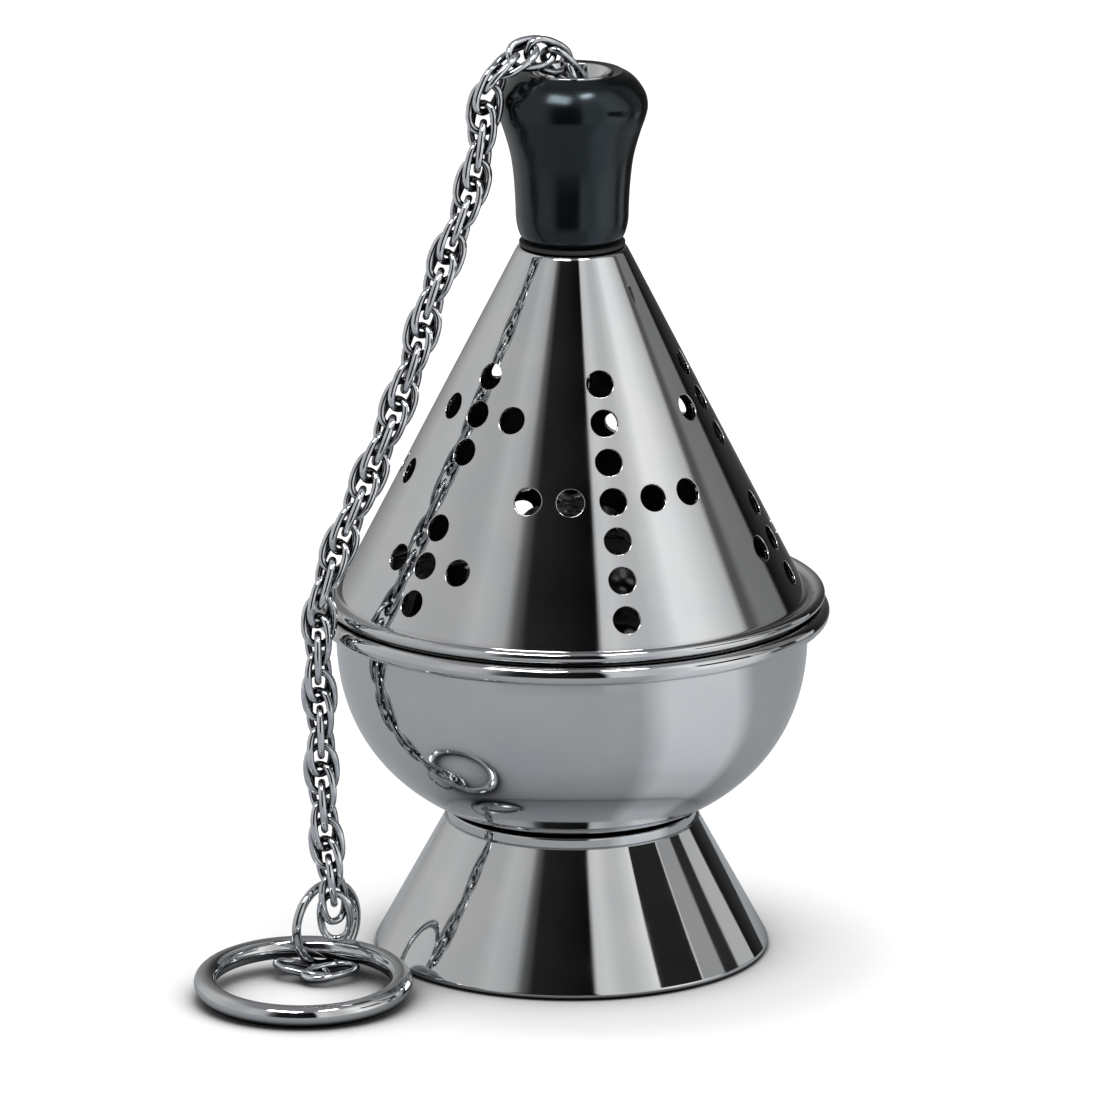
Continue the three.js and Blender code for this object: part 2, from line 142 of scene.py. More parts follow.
# ---- fineness of the visual model ----
TURNED_SEGMENTS = 144
SMALL_SEGMENTS = 60
HOLE_SIDES = 28
CONE_ROWS = 30
GRID_CLEARANCE = 0.5  # from a hole's rim to the grid, in millimetres
SEAM_TURN = math.radians(-37.5)  # where the cone's pattern is cut open, clear of every hole
NUT_SIDES = 72

# ---- the rope chain, in millimetres ----
LINK_PITCH = 4.35
LINK_TURN = math.radians(45)
LINK_JITTER = 4  # degrees, at random either way
LINK_HALF_LENGTH = 5.4
LINK_HALF_WIDTH = 3.3
CHAIN_WIRE = 0.84
CHAIN_PHASE = math.radians(20)
CHAIN_ENDS = 1.4 * LINK_HALF_LENGTH  # length of line beyond the middles of the end links
TANGENT_REACH = 2  # the chain's direction is taken between points this far to each side
CHAIN_ROUTE = [
    (0.0, 0.0, 198.0), (0.0, 0.0, 199.6), (-1.0, -0.5, 202.6), (-3.7, -1.7, 205.8), (-7.4, -3.4, 207.8),
    (-11.3, -5.3, 207.4), (-15.0, -7.0, 204.9), (-18.0, -8.4, 201.3), (-19.5, -9.1, 196.2),
    (-20.2, -9.4, 189.8), (-21.2, -9.9, 183.5), (-22.8, -10.7, 177.6), (-25.0, -11.7, 171.0),
    (-27.6, -12.9, 164.6), (-31.7, -14.8, 153.0), (-36.4, -17.0, 137.5), (-42.4, -19.8, 122.0),
    (-49.1, -22.9, 106.6), (-54.7, -25.5, 92.4), (-56.2, -26.2, 85.8), (-56.7, -26.5, 79.0),
    (-56.8, -26.5, 72.4), (-56.5, -26.4, 65.0), (-56.1, -26.2, 46.2), (-55.6, -26.4, 36.8),
    (-54.6, -27.0, 27.3), (-53.6, -26.9, 18.0), (-53.0, -26.3, 9.5),
]
LAST_LINKS = [
    ((-60.9, -27.4, 2.3), (0.97, -0.16, -0.18), (0.18, 0.0, 0.97), 5.9, 3.4),
    ((-54.6, -29.2, 2.2), (0.86, 0.5, 0.06), (-0.07, 0.0, 0.99), 6.4, 4.2),
]  # middle, direction of the length, square to the link, half its length and half its width

# ---- camera ----
CAMERA_PLACE = Vector((-0.00496, -2.190, 0.6823))
CAMERA_AIM = Vector((-0.00496, 0.0, 0.0925))
CAMERA_LENS = 329.1
CAMERA_SENSOR = 36.0
CAMERA_REACH = 20.0

# ---- surroundings ----
STUDIO = [
    (-180, 0.22), (-165, 0.30), (-150, 0.46), (-136, 0.62), (-110, 0.68), (-92, 0.60), (-78, 0.56),
    (-66, 0.56), (-55, 0.67), (-44, 0.60), (-38, 0.50), (-33, 0.15), (-26, 0.02), (14, 0.004), (17, 0.80),
    (24, 0.86), (34, 0.70), (42, 0.70), (52, 0.88), (60, 1.18), (72, 1.12), (84, 0.90), (96, 0.66),
    (100, 0.12), (104, 0.12), (109, 0.26), (128, 0.24), (131, 0.005), (144, 0.035), (160, 0.06),
    (172, 0.14), (180, 0.2),
]  # brightness of the reflected room, by degrees from the front towards +X
STUDIO_PEAK = 1.5
CEILING = (0.2, 0.2, 0.21, 1.0)
CEILING_FROM, CEILING_TO = 0.76, 0.9  # upward part of the direction, from and to
WHITE_STRENGTH = 1.15
FLOOR_HALF = 3
FLOOR_WHITE = (0.95, 0.95, 0.95, 1.0)
# painted reflection, seen only in the steel: the floor's brightness by degrees from the front, with lighter
# bands, and its blue tint
PAINTED_FLOOR_REFLECTION = [(-180, 0.37), (30, 0.38), (44, 0.67), (80, 0.65), (92, 0.36), (130, 0.32), (180, 0.37)]
PAINTED_FLOOR_REFLECTION_TINT = (0.97, 1.0, 1.04, 1.0)
FLOOR_FADE_FROM, FLOOR_FADE_TO = 0.30, 0.45
LOW_CARDS = [(54, 81, 0.02), (82, 97, 0.42), (98, 108, 0.03), (109, 125, 0.60)]
# low panels that mostly the foot reflects: from and to in degrees, and how bright
CARD_DISTANCE = 0.35
CARD_HEIGHT = 0.085
CARD_STEPS = 6
SOFTBOXES = [
    ("key_softbox", (-0.42, -0.72, 1.45), (0.72, 0.4), 9.5, False),
    ("small_softbox", (0.42, -0.5, 1.5), (0.36, 0.2), 4.5, False),
    ("overhead_softbox", (-0.14, 0.16, 1.4), (0.36, 0.36), 3, True),
]  # name, place, size, power, and whether it only lights the floor
SOFTBOX_AIM = Vector((0, 0, 0.1))


def box_mm(node):
    """Lowest and highest corner of a CAD node, in millimetres."""
    low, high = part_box(node)
    return low / MM, high / MM


def add_camera():
    """Looks down about 15 degrees from the front, through a long lens."""
    camera = bpy.data.objects.new("camera", bpy.data.cameras.new("camera"))
    bpy.context.scene.collection.objects.link(camera)
    camera.data.sensor_width = CAMERA_SENSOR
    camera.data.lens = CAMERA_LENS
    camera.data.clip_end = CAMERA_REACH
    camera.location = CAMERA_PLACE
    camera.rotation_euler = (CAMERA_AIM - CAMERA_PLACE).to_track_quat("-Z", "Y").to_euler()
    bpy.context.scene.camera = camera


def place_piece(piece, body, slot, *nodes):
    """Puts a piece on its body, in the place of any CAD nodes named."""
    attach(piece, body)
    if nodes:
        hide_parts(*nodes)


# ---- mesh making ----
class Builder:
    """Collects vertices in millimetres and faces with a normal at each corner."""

    def __init__(self):
        self.places = {}
        self.points = []
        self.faces = []
        self.normals = []
        self.sides = []

    def vertex(self, point):
        key = tuple(round(c, 4) for c in point)
        if key not in self.places:
            self.places[key] = len(self.points)
            self.points.append(tuple(point))
        return self.places[key]

    def face(self, points, normals, side=0):
        """Adds a face; side 1 takes the object's second material."""
        corners, kept = [], []
        for point, normal in zip(points, normals):
            index = self.vertex(point)
            if index not in corners:
                corners.append(index)
                kept.append(normal)
        if len(corners) > 2:
            self.faces.append(corners)
            self.normals.extend(kept)
            self.sides.append(side)

    def object(self, name, material, second=None):
        mesh = smooth_mesh(name, self.points, self.faces)
        mesh.normals_split_custom_set([Vector(n).normalized() for n in self.normals])
        made = link_mesh(name, mesh, material)
        if second:
            mesh.materials.append(second)
            mesh.polygons.foreach_set("material_index", self.sides)
        return made


def smooth_mesh(name, points, faces):
    """A smooth-shaded mesh in metres, from points in millimetres."""
    mesh = bpy.data.meshes.new(name)
    mesh.from_pydata([[c * MM for c in p] for p in points], [], faces)
    mesh.polygons.foreach_set("use_smooth", [True] * len(faces))
    return mesh


def link_mesh(name, mesh, material):
    mesh.update()
    made = bpy.data.objects.new(name, mesh)
    mesh.materials.append(material)
    bpy.context.scene.collection.objects.link(made)
    return made


def loop_faces(rows, sides, start=0, twist=0):
    """Faces between rows of points in a closed loop; twist lines the last row up with the first."""
    faces = []
    for i in range(rows):
        row, ahead = start + i * sides, start + (i + 1) % rows * sides
        shift = twist if i == rows - 1 else 0
        for k in range(sides):
            n = (k + 1) % sides
            faces.append((row + k, row + n, ahead + (n + shift) % sides, ahead + (k + shift) % sides))
    return faces


def circle(count):
    """Cosine and sine at even steps round a circle."""
    angles = [2 * math.pi * k / count for k in range(count)]
    return [(math.cos(a), math.sin(a)) for a in angles]


def arc(centre_r, centre_z, radius, start, end, steps=8):
    """Outline points along an arc, in degrees from the outward direction."""
    angles = np.radians(np.linspace(start, end, steps + 1))
    return [(centre_r + radius * math.cos(a), centre_z + radius * math.sin(a)) for a in angles]


def outline_normals(outline, sharp=38):
    """For each side of a closed outline, the outward normal at its two ends."""
    count = len(outline)
    sides, lengths = [], []
    for i in range(count):
        (r0, z0), (r1, z1) = outline[i], outline[(i + 1) % count]
        length = max(math.hypot(r1 - r0, z1 - z0), 1e-9)
        sides.append(Vector(((z1 - z0) / length, -(r1 - r0) / length)))
        lengths.append(length)
    limit = math.cos(math.radians(sharp))

    def corner(i, j):
        if sides[i].dot(sides[j]) < limit:
            return sides[i]
        return (sides[i] * lengths[i] + sides[j] * lengths[j]).normalized()

    return [(corner(i, i - 1), corner(i, (i + 1) % count)) for i in range(count)]


def turned(point, turn):
    """An outline point or normal, turned about the Z axis by a cosine and a sine."""
    return point[0] * turn[0], point[0] * turn[1], point[1]


def revolve_into(builder, outline, segments=TURNED_SEGMENTS, skip=()):
    """Turns a closed outline, walked anticlockwise, about the Z axis. Sides in skip are left out."""
    turns = circle(segments) + [(1.0, 0.0)]
    for i, (first, last) in enumerate(outline_normals(outline)):
        low, high = outline[i], outline[(i + 1) % len(outline)]
        if i in skip or (low[0] < 1e-6 and high[0] < 1e-6):
            continue
        for here, there in zip(turns, turns[1:]):
            builder.face(
                [turned(low, here), turned(low, there), turned(high, there), turned(high, here)],
                [turned(first, here), turned(first, there), turned(last, there), turned(last, here)],
            )


def revolve(name, outline, material, segments=TURNED_SEGMENTS):
    builder = Builder()
    revolve_into(builder, outline, segments)
    return builder.object(name, material)


def smooth_curve(points, steps):
    """A centripetal Catmull-Rom curve through the points, with steps pieces in each span."""
    known = [np.array(p, float) for p in points]
    known = [2 * known[0] - known[1]] + known + [2 * known[-1] - known[-2]]
    made = []
    for p0, p1, p2, p3 in zip(known, known[1:], known[2:], known[3:]):
        t0 = 0.0
        t1 = t0 + np.linalg.norm(p1 - p0) ** 0.5
        t2 = t1 + np.linalg.norm(p2 - p1) ** 0.5
        t3 = t2 + np.linalg.norm(p3 - p2) ** 0.5
        for t in np.linspace(t1, t2, steps, endpoint=False):
            a1 = p0 + (p1 - p0) * (t - t0) / (t1 - t0)
            a2 = p1 + (p2 - p1) * (t - t1) / (t2 - t1)
            a3 = p2 + (p3 - p2) * (t - t2) / (t3 - t2)
            b1 = a1 + (a2 - a1) * (t - t0) / (t2 - t0)
            b2 = a2 + (a3 - a2) * (t - t1) / (t3 - t1)
            made.append(b1 + (b2 - b1) * (t - t1) / (t2 - t1))
    made.append(known[-2])
    return made


def ring_line(centre, first, second, radius, count):
    """Points round a circle in the plane of two directions."""
    centre, first, second = (np.array(v, float) for v in (centre, first, second))
    return [centre + radius * (c * first + s * second) for c, s in circle(count)]


def tube(name, centres, radius, material, sides):
    """A closed round wire along centres."""
    count = len(centres)
    points = []
    side = np.cross(centres[1] - centres[0], [0.31, 0.17, 0.93])
    for i in range(count):
        along = centres[(i + 1) % count] - centres[i - 1]
        along /= np.linalg.norm(along)
        side = side - along * side.dot(along)
        side /= np.linalg.norm(side)
        other = np.cross(along, side)
        points += [centres[i] + radius * (c * side + s * other) for c, s in circle(sides)]
    gaps = [np.linalg.norm(points[-sides] - p) for p in points[:sides]]
    faces = loop_faces(count, sides, twist=int(np.argmin(gaps)))
    return link_mesh(name, smooth_mesh(name, points, faces), material)


# ---- materials ----
def add_node(tree, kind, inputs):
    """A shader node; each input is a value to set, or another node's output to link."""
    node = tree.nodes.new("ShaderNode" + kind)
    for socket, value in inputs.items():
        if isinstance(value, bpy.types.NodeSocket):
            tree.links.new(value, node.inputs[socket])
        else:
            node.inputs[socket].default_value = value
    return node


def node_material(name, metallic, colour, roughness):
    material = bpy.data.materials.new(name)
    material.use_nodes = True
    shader = material.node_tree.nodes["Principled BSDF"]
    shader.inputs["Metallic"].default_value = metallic
    shader.inputs["Base Color"].default_value = (*colour, 1.0)
    shader.inputs["Roughness"].default_value = roughness
    return material, material.node_tree, shader


def noise(tree, scale, detail=3.0, stretch=(1, 1, 1)):
    """Noise in the object's own metres, so that it lies still on the piece."""
    place = add_node(tree, "TexCoord", {}).outputs["Object"]
    mapping = add_node(tree, "Mapping", {"Vector": place, "Scale": stretch}).outputs["Vector"]
    return add_node(tree, "TexNoise", {"Vector": mapping, "Scale": scale, "Detail": detail}).outputs["Fac"]


def ranged(tree, value, low, high, start=0.3, end=0.7):
    """A value between start and end, moved to lie between low and high."""
    span = {"From Min": start, "From Max": end, "To Min": low, "To Max": high}
    return add_node(tree, "MapRange", {"Value": value, **span}).outputs["Result"]


def two_tone(tree, value, first, second):
    """A blend of two colours over the middle of a value's range."""
    ramp = add_node(tree, "ValToRGB", {"Fac": value})
    for element, position, colour in zip(ramp.color_ramp.elements, (0.35, 0.65), (first, second)):
        element.position = position
        element.color = (*colour, 1.0)
    return ramp.outputs["Color"]


def multiplied(tree, first, second):
    node = add_node(tree, "MixRGB", {"Fac": 1.0, "Color1": first, "Color2": second})
    node.blend_type = "MULTIPLY"
    return node.outputs["Color"]


def shaded(tree, colour, reach, dark, start, end):
    """The colour with painted shade: darkened where other surfaces lie closer than reach.

    It falls to dark where only start of the surroundings is open, and is untouched above end.
    """
    recess = add_node(tree, "AmbientOcclusion", {"Distance": reach})
    recess.samples = 8
    return multiplied(tree, colour, ranged(tree, recess.outputs["AO"], dark, 1.0, start, end))


def dress(tree, shader, colour, roughness, bumps):
    """Links colour, roughness and bumps, each a height, its strength and its depth."""
    tree.links.new(colour, shader.inputs["Base Color"])
    tree.links.new(roughness, shader.inputs["Roughness"])
    normal = None
    for height, strength, depth in bumps:
        node = add_node(tree, "Bump", {"Height": height, "Strength": strength, "Distance": depth})
        if normal:
            tree.links.new(normal, node.inputs["Normal"])
        normal = node.outputs["Normal"]
    tree.links.new(normal, shader.inputs["Normal"])


def polished_steel():
    """Mirror-polished sheet: slow waves from spinning, faint smudges, hairlines, and painted shade in seams
    and recesses.
    """
    material, tree, shader = node_material("polished_steel", 1.0, (0.6, 0.61, 0.62), 0.04)
    smudges = noise(tree, 55, 5)
    hairlines = noise(tree, 700, 2, (1, 1, 14))
    colour = two_tone(tree, smudges, (0.59, 0.605, 0.62), (0.64, 0.645, 0.645))
    # painted shade: the colour darkened where other surfaces lie close, in seams, gutters and recesses
    colour = shaded(tree, colour, reach=0.003, dark=0.03, start=0.3, end=0.72)
    waves = noise(tree, 28, 1)
    bumps = [(waves, 0.05, 0.0012), (hairlines, 0.012, 0.00005)]
    dress(tree, shader, colour, ranged(tree, smudges, 0.025, 0.075), bumps)
    return material


def chain_steel():
    """Polished wire, with painted shade in the recesses between the links, and dulled where they rub."""
    material, tree, shader = node_material("chain_steel", 1.0, (0.6, 0.62, 0.65), 0.06)
    wear = noise(tree, 420, 4)
    colour = two_tone(tree, wear, (0.54, 0.56, 0.59), (0.78, 0.8, 0.83))
    # painted shade: the wire darkened between the links, where they lie close together
    colour = shaded(tree, colour, reach=0.0035, dark=0.04, start=0.4, end=0.88)
    dress(tree, shader, colour, ranged(tree, wear, 0.035, 0.1), [(noise(tree, 900, 3), 0.06, 0.0001)])
    return material


def plain_steel():
    """Satin steel inside the vessel, turned or rolled, with fine marks round the axis."""
    material, tree, shader = node_material("plain_steel", 1.0, (0.5, 0.5, 0.5), 0.3)
    grain = noise(tree, 500, 3, (0.3, 0.3, 5))
    heat = noise(tree, 60, 3)
    colour = two_tone(tree, heat, (0.42, 0.4, 0.38), (0.55, 0.55, 0.55))
    dress(tree, shader, colour, ranged(tree, grain, 0.22, 0.38), [(grain, 0.1, 0.0001)])
    return material


def gloss_black():
    """Turned black handle, polished, with faint lathe rings and rubbed patches."""
    material, tree, shader = node_material("black_gloss", 0.0, (0.0015, 0.0018, 0.002), 0.2)
    # painted blue in every reflection on the handle, standing in for the colour of the light in its
    # highlights
    shader.inputs["Specular Tint"].default_value = (0.72, 0.9, 1.0, 1.0)
    handling = noise(tree, 90, 4)
    rings = noise(tree, 160, 2, (0.05, 0.05, 6))
    colour = two_tone(tree, handling, (0.001, 0.0012, 0.0014), (0.002, 0.0024, 0.0028))
    dress(tree, shader, colour, ranged(tree, handling, 0.15, 0.22), [(rings, 0.05, 0.0002)])
    return material


def painted_shade_steel():
    """The lid's inside face: rough, and painted near-black for the shade inside the lid."""
    material, tree, shader = node_material("painted_shade_steel", 0.6, (0.03, 0.026, 0.022), 0.6)
    mottle = noise(tree, 130, 5)
    # painted shade: the whole inside face near-black, with a random mottle
    colour = two_tone(tree, mottle, (0.012, 0.01, 0.009), (0.06, 0.052, 0.045))
    dress(tree, shader, colour, ranged(tree, mottle, 0.75, 0.5), [(noise(tree, 900, 3), 0.2, 0.0001)])
    return material


def matt_black():
    """Fibre washer under the handle."""
    material, tree, shader = node_material("black_matt", 0.0, (0.01, 0.01, 0.01), 0.6)
    fibre = noise(tree, 1500, 3)
    colour = two_tone(tree, fibre, (0.006, 0.006, 0.006), (0.02, 0.019, 0.018))
    dress(tree, shader, colour, ranged(tree, fibre, 0.5, 0.7), [(fibre, 0.3, 0.0001)])
    return material


# ---- chain ----
def link_outline(half_length, half_width, count=28, squareness=2.35):
    """The middle line of an oval link's wire, a little squarer than an ellipse."""
    power = 2 / squareness
    return [
        (math.copysign(abs(c) ** power * half_length, c), math.copysign(abs(s) ** power * half_width, s))
        for c, s in circle(count)
    ]


class Wire:
    """A mesh of closed wires, gathered into one piece."""

    def __init__(self, sides=10):
        self.sides = sides
        self.points = []
        self.faces = []

    def add(self, centres, across, radius):
        """A closed wire through centres, lying in the plane square to across."""
        start = len(self.points)
        count = len(centres)
        for i in range(count):
            along = centres[(i + 1) % count] - centres[i - 1]
            along /= np.linalg.norm(along)
            out = np.cross(along, across)
            self.points += [centres[i] + radius * (c * out + s * across) for c, s in circle(self.sides)]
        self.faces += loop_faces(count, self.sides, start)

    def object(self, name, material):
        return link_mesh(name, smooth_mesh(name, self.points, self.faces), material)


def add_link(wire, middle, along, flat, half_length=LINK_HALF_LENGTH, half_width=LINK_HALF_WIDTH,
             radius=CHAIN_WIRE):
    """One oval link: its length runs along, and it lies square to flat."""
    middle, along, flat = (np.array(v, float) for v in (middle, along, flat))
    side = np.cross(flat, along)
    centres = [middle + x * along + y * side for x, y in link_outline(half_length, half_width)]
    wire.add(centres, flat, radius)


def point_along(line, travelled, at):
    """The point of a line at a distance travelled along it."""
    return np.array([np.interp(at, travelled, [p[k] for p in line]) for k in range(3)])


def chain(name, line, material, first_turn):
    """A rope chain along a fine line: every link is turned 45 degrees from the one before."""
    lengths = [np.linalg.norm(b - a) for a, b in zip(line, line[1:])]
    travelled = np.concatenate([[0.0], np.cumsum(lengths)])
    wire = Wire()
    side = np.array([1.0, 0.0, 0.0])
    reach = travelled[-1] - CHAIN_ENDS
    count = round(reach / LINK_PITCH) + 1
    for i in range(count):
        at = LINK_HALF_LENGTH / 2 + i * reach / (count - 1)
        after = point_along(line, travelled, at + TANGENT_REACH)
        along = after - point_along(line, travelled, at - TANGENT_REACH)
        along /= np.linalg.norm(along)
        side = side - along * side.dot(along)
        side /= np.linalg.norm(side)
        other = np.cross(along, side)
        turn = first_turn + i * LINK_TURN + math.radians(random.uniform(-LINK_JITTER, LINK_JITTER))
        flat = math.cos(turn) * side + math.sin(turn) * other
        add_link(wire, point_along(line, travelled, at), along, flat)
    return wire.object(name, material), travelled[-1]


def last_links(material):
    """The two links that lie at the finger ring."""
    wire = Wire()
    for middle, along, flat, half_length, half_width in LAST_LINKS:
        add_link(wire, middle, along, flat, half_length, half_width)
    links = wire.object("last_links", material)
    place_piece(links, "chain_drape", "chain_steel")
    return links


def wire_ring(node, line, radius, sides, material):
    ring = tube(node + "_wire", line, radius, material, sides)
    place_piece(ring, node, "chain_steel", node)
    return ring


def jump_ring(material):
    """The wire ring between the last links and the finger ring."""
    low, high = box_mm("jump_ring")
    radius = (high.z - low.z) / 2 - JUMP_RING_WIRE
    line = ring_line((low + high) / 2, JUMP_RING_LIES, (0, 0, 1), radius, 72)
    return wire_ring("jump_ring", line, JUMP_RING_WIRE, 16, material)


def finger_ring(material):
    """The thick ring, leaning as the CAD's does."""
    low, high = box_mm("finger_ring")
    radius = (high.x - low.x) / 2 - FINGER_RING_TUBE
    lean = math.asin(max(0.0, (high.z - low.z) / 2 - FINGER_RING_TUBE) / radius)
    back = (0, math.cos(lean), math.sin(lean))
    line = ring_line((low + high) / 2, (1, 0, 0), back, radius, TURNED_SEGMENTS)
    return wire_ring("finger_ring", line, FINGER_RING_TUBE, 28, material)


def outer_chain(steel, ring_steel):
    """The cord: out of the knob, over its shoulder and down to the finger ring."""
    line = smooth_curve(CHAIN_ROUTE, 8)
    outer, length = chain("outer_chain", line, steel, CHAIN_PHASE)
    place_piece(outer, "chain_drape", "chain_steel", "chain_outer")
    ends = [last_links(steel), jump_ring(ring_steel), finger_ring(ring_steel)]


def inner_chain(steel):
    """The straight run that the lid slides on, from the bowl's fitting up into the knob."""
    low, break_low = box_mm("chain_inner")
    break_high = box_mm("chain_in_knob")[1]
    line = [np.array([0.0, 0.0, z]) for z in np.linspace(low.z - 3, break_high.z + 2, 60)]
    inner, _ = chain("inner_chain", line, steel, 0.0)
    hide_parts("chain_inner", "chain_in_knob")
    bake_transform(inner)


def connecting_link(material):
    """The single link that joins the eye to the chain."""
    low, high = box_mm("connecting_link")
    half_length = (high.z - low.z) / 2 - LINK_WIRE
    half_width = (high.y - low.y) / 2 - LINK_WIRE
    wire = Wire()
    add_link(wire, (low + high) / 2, (0, 0, 1), (1, 0, 0), half_length, half_width, LINK_WIRE)
    place_piece(wire.object("joining_link", material), "bowl_and_foot", "chain_steel", "connecting_link")


# ---- foot and bowl ----
def foot_outline():
    low, high = box_mm("foot")
    radius, top = high.x, high.z
    height = top - FOOT_COLLAR_HEIGHT
    lean = (radius - FOOT_NECK_RADIUS) / (height - FOOT_EDGE)
    wall = SHEET * math.hypot(1, lean)
    slope = math.degrees(math.atan(lean))
    collar = FOOT_NECK_RADIUS - FOOT_COLLAR_INSET
    flange = radius - FOOT_FLANGE - FOOT_EDGE
    ease, bevel = NECK_ROUND, INNER_BEVEL

    def flare(z):
        return FOOT_NECK_RADIUS + lean * (height - z)

    return [
        (flange, 0), *arc(radius - FOOT_EDGE, FOOT_EDGE, FOOT_EDGE, -90, slope, 8),
        (flare(height - ease), height - ease),
        *arc(FOOT_NECK_RADIUS - ease, height - 0.2 * ease, ease, slope, 80, 5),
        (collar, height + 1.1 * ease), (collar, top - ease), *arc(collar - ease, top - ease, ease, 0, 90, 5),
        (BOLT_HOLE, top), (BOLT_HOLE, top - SHEET),
        (collar - SHEET - bevel, top - SHEET), (collar - SHEET, top - SHEET - bevel),
        (flare(height) - wall, height - 0.8 * ease), (flare(SHEET) - wall, SHEET), (flange, SHEET),
    ]


def belly(radius, depth, belly_z, floor_z, steps=48):
    """The bowl's side, from its flat floor up to the widest line."""
    start = math.asin(((belly_z - floor_z) / depth) ** (BELLY_POWER / 2))
    angles = [start * (1 - i / steps) for i in range(steps + 1)]
    power = 2 / BELLY_POWER
    return [(radius * math.cos(a) ** power, belly_z - depth * math.sin(a) ** power) for a in angles]


def bowl_outline():
    low, high = box_mm("bowl")
    floor, rim_z = low.z, high.z - RIM_BEAD
    belly_z = floor + BOWL_DEPTH
    depth = BOWL_DEPTH * BELLY_OVERSHOOT
    bead = high.x - RIM_BEAD
    inner = BOWL_RADIUS - SHEET
    curl_z = rim_z - RIM_BEAD - CURL_FILLET / 2
    return [
        (BOLT_HOLE, floor), *belly(BOWL_RADIUS, depth, belly_z, floor), (BOWL_RADIUS, curl_z),
        *arc(BOWL_RADIUS + CURL_FILLET, curl_z, CURL_FILLET, 180, 110, 5),
        *arc(bead, rim_z, RIM_BEAD, -100, 130, 22),
        (inner + 0.5, rim_z + RIM_BEAD * 0.7), (inner, rim_z + RIM_BEAD * 0.4),
        *belly(inner, depth - SHEET, belly_z, floor + SHEET)[::-1], (BOLT_HOLE, floor + SHEET),
    ]


# ---- lid ----
class ConeSheet:
    """The lid's cone, and its pattern unrolled flat, cut open where no hole is.

    On the pattern, u runs down the slope from the apex and turn goes round the axis.
    """

    def __init__(self):
        low, high = box_mm("lid_cone")
        self.bead_radius, self.low_z, self.top_z = high.x, low.z, high.z
        self.base_radius = high.x - 2 * LID_BEAD - LID_GUTTER
        self.foot_z = low.z + 2 * LID_BEAD - LID_BEAD_STEP
        self.shoulder_z = high.z - LID_TOP_ROUND
        self.slope = math.atan2(self.base_radius - LID_TOP_RADIUS, self.shoulder_z - self.foot_z)
        self.sine, self.cosine = math.sin(self.slope), math.cos(self.slope)
        self.foot_u = self.base_radius / self.sine
        self.top_u = LID_TOP_RADIUS / self.sine

    def flat(self, u, turn):
        return u * math.cos(turn * self.sine), u * math.sin(turn * self.sine)

    def solid(self, x, y, depth=0.0):
        """A flat point rolled onto the cone: place, outward normal, down the slope, round the axis."""
        turn = math.atan2(y, x) / self.sine
        if turn > math.pi - 1e-7:
            turn = -math.pi
        turn += math.pi + SEAM_TURN
        c, s = math.cos(turn), math.sin(turn)
        normal = np.array([self.cosine * c, self.cosine * s, self.sine])
        down = np.array([self.sine * c, self.sine * s, -self.cosine])
        apex = np.array([0.0, 0.0, self.foot_z + self.foot_u * self.cosine])
        return apex + math.hypot(x, y) * down - depth * normal, normal, down, np.array([-s, c, 0.0])

    def hole(self, degrees, row, step=0):
        """The middle of a punched hole, on the flat pattern."""
        u = self.foot_u - FIRST_HOLE_ROW - row * HOLE_ROW_PITCH
        turn = math.radians(degrees - 90) + step * HOLE_ARM_PITCH / (u * self.sine)
        return self.flat(u, (turn - SEAM_TURN) % (2 * math.pi) - math.pi)

    def cross(self, degrees, lowest, centre, highest, arms):
        """A Latin cross: a column of rows, and arms on each side of its centre row."""
        holes = [self.hole(degrees, row) for row in range(lowest, highest + 1)]
        for step in range(1, arms + 1):
            holes += [self.hole(degrees, centre, step), self.hole(degrees, centre, -step)]
        return holes

    def holes(self):
        made = []
        for degrees in BIG_CROSS_ANGLES:
            made += self.cross(degrees, lowest=0, centre=3, highest=6, arms=2)
        for degrees in SMALL_CROSS_ANGLES:
            made += self.cross(degrees, lowest=0, centre=1, highest=2, arms=1)
            made += self.cross(degrees, lowest=4, centre=5, highest=6, arms=1)
        return np.array(made)


def nearest_hole(holes, x, y):
    """Distance from a flat point to the middle of the nearest hole."""
    return np.hypot(holes[:, 0] - x, holes[:, 1] - y).min()


def flat_pattern(sheet, holes):
    """Points and edges of the unrolled cone: outline, a grid clear of the holes, and their rims."""
    points, edges, index = [], [], {}
    rim = HOLE_RADIUS + HOLE_LIP
    for row in range(CONE_ROWS + 1):
        u = sheet.top_u + (sheet.foot_u - sheet.top_u) * row / CONE_ROWS
        for column in range(TURNED_SEGMENTS + 1):
            x, y = sheet.flat(u, -math.pi + 2 * math.pi * column / TURNED_SEGMENTS)
            on_outline = row in (0, CONE_ROWS) or column in (0, TURNED_SEGMENTS)
            if on_outline or nearest_hole(holes, x, y) > rim + GRID_CLEARANCE:
                index[row, column] = len(points)
                points.append((x, y))
    for row in (0, CONE_ROWS):
        edges += [(index[row, c], index[row, c + 1]) for c in range(TURNED_SEGMENTS)]
    for column in (0, TURNED_SEGMENTS):
        edges += [(index[r, column], index[r + 1, column]) for r in range(CONE_ROWS)]
    for x, y in holes:
        start = len(points)
        points += [(x + rim * dx, y + rim * dy) for dx, dy in circle(HOLE_SIDES)]
        edges += [(start + k, start + (k + 1) % HOLE_SIDES) for k in range(HOLE_SIDES)]
    return points, edges


